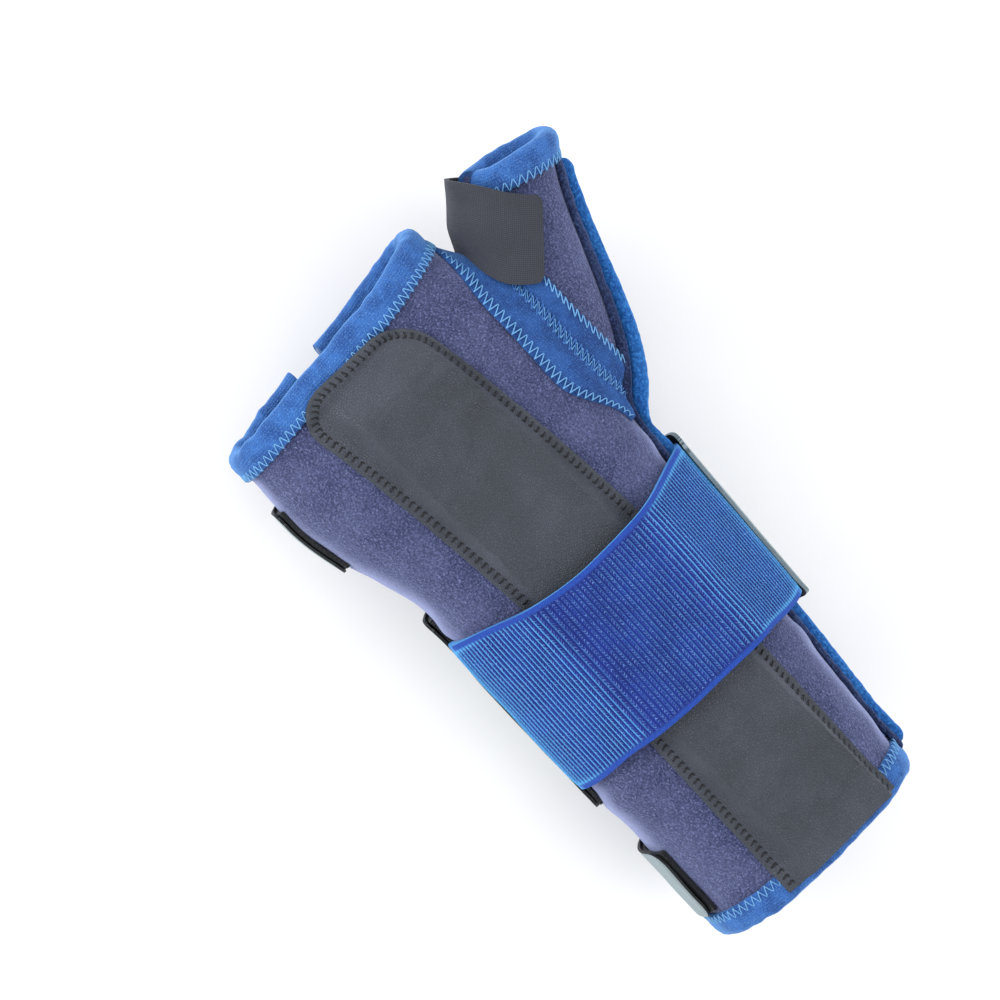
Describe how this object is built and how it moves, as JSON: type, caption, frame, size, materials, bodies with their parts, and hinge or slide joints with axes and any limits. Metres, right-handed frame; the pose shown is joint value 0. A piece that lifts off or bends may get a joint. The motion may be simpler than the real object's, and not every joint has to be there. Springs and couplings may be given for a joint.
{
  "type": "wrist splint",
  "caption": "Wrist and thumb splint: wrap panels with a palmar splint pocket, thumb sheath, hook tabs and an elastic wrist strap.",
  "frame": {"origin": "middle of the wrist, on the limb's centre line", "axes": "+X to the fingers, +Y to the little finger, +Z out of the palm; the thumb is on the -Y side"},
  "size_m": [0.2158, 0.1336, 0.0612],
  "materials": {
    "loop_fabric": "brushed loop pile, purple blue",
    "binding_tape": "soft knitted tape, mid blue",
    "seam_tape": "fuzzy tape, dark navy",
    "edge_piping": "folded tape, bright blue",
    "grained_leatherette": "fine grain, dark grey",
    "splint_metal": "satin, rolled",
    "sleeve_fabric": "woven, dark blue",
    "tab_backing": "close weave, grey",
    "hook_strip": "moulded hooks, near black",
    "thumb_strap_fabric": "micro-textured, charcoal",
    "ribbed_elastic": "ribbed elastic webbing, royal blue"
  },
  "bodies": {
    "brace": {"palm_panel": "loop_fabric", "thumb_front_panel": "loop_fabric", "thumb_back_panel": "loop_fabric", "radial_gusset": "loop_fabric", "palm_edge_binding": "binding_tape", "forearm_hem_binding": "binding_tape", "ulnar_edge_binding": "binding_tape", "thumb_rim_binding": "binding_tape", "palm_web_strip": "binding_tape", "thumb_web_strip": "binding_tape", "radial_seam_tape": "seam_tape", "radial_edge_piping": "edge_piping", "splint_pocket": "grained_leatherette", "thumb_stay_pocket": "sleeve_fabric", "thumb_strap_anchor": "thumb_strap_fabric", "wrist_strap_anchor": "ribbed_elastic"},
    "splint": {"palmar_splint": "splint_metal"},
    "stay": {"thumb_stay": "splint_metal"},
    "dorsal_flap": {"dorsal_panel": "loop_fabric", "dorsal_edge_binding": "binding_tape", "dorsal_end_bindings": "binding_tape", "tab_sewn_bases": "tab_backing"},
    "hand_tab_end": {"hand_tab": "tab_backing", "hand_tab_hook": "hook_strip"},
    "wrist_tab_end": {"wrist_tab": "tab_backing", "wrist_tab_hook": "hook_strip"},
    "forearm_tab_end": {"forearm_tab": "tab_backing", "forearm_tab_hook": "hook_strip"},
    "thumb_strap_end": {"thumb_strap": "thumb_strap_fabric", "thumb_strap_hook": "hook_strip"},
    "wrist_strap_body": {"wrist_strap": "ribbed_elastic"},
    "wrist_strap_grip": {"wrist_strap_end": "ribbed_elastic", "wrist_strap_tab": "tab_backing", "wrist_strap_hook": "hook_strip"}
  },
  "joints": [
    {"name": "splint_slide", "type": "slide", "parent": "brace", "child": "splint", "axis": [-0.9987, -0.0519, 0], "range_m": [0, 0.18]},
    {"name": "thumb_stay_slide", "type": "slide", "parent": "brace", "child": "stay", "axis": [0.8452, -0.5094, 0.1619], "range_m": [0, 0.042]},
    {"name": "dorsal_flap_open", "type": "hinge", "parent": "brace", "child": "dorsal_flap", "pos_m": [-0.112, -0.016, -0.02428], "axis": [-0.9992, 0, -0.0409], "range_deg": [0, 85]},
    {"name": "hand_tab_peel", "type": "hinge", "parent": "dorsal_flap", "child": "hand_tab_end", "pos_m": [0.04399, 0.00035, -0.02187], "axis": [-0.9991, 0, -0.0425], "range_deg": [0, 80]},
    {"name": "wrist_tab_peel", "type": "hinge", "parent": "dorsal_flap", "child": "wrist_tab_end", "pos_m": [-0.06001, 0.00035, -0.02629], "axis": [-0.9991, 0, -0.0425], "range_deg": [0, 80]},
    {"name": "forearm_tab_peel", "type": "hinge", "parent": "dorsal_flap", "child": "forearm_tab_end", "pos_m": [-0.104, 0.00035, -0.02816], "axis": [-0.9991, 0, -0.0425], "range_deg": [0, 80]},
    {"name": "thumb_strap_peel", "type": "hinge", "parent": "brace", "child": "thumb_strap_end", "pos_m": [0.08622, -0.04775, 0.02193], "axis": [-0.7587, 0.6367, -0.1378], "range_deg": [0, 140]},
    {"name": "wrist_strap_peel", "type": "hinge", "parent": "wrist_strap_body", "child": "wrist_strap_grip", "pos_m": [-0.028, -0.0465, 0.0082], "axis": [-1, 0, 0], "range_deg": [0, 150]},
    {"name": "wrist_strap_swing", "type": "hinge", "parent": "brace", "child": "wrist_strap_body", "pos_m": [-0.028, 0.0406, -0.0012], "axis": [-1, 0, 0], "range_deg": [0, 60]}
  ],
  "couplings": [
    {"joint": "wrist_strap_swing", "follows": "wrist_strap_peel", "ratio": 0.4}
  ]
}
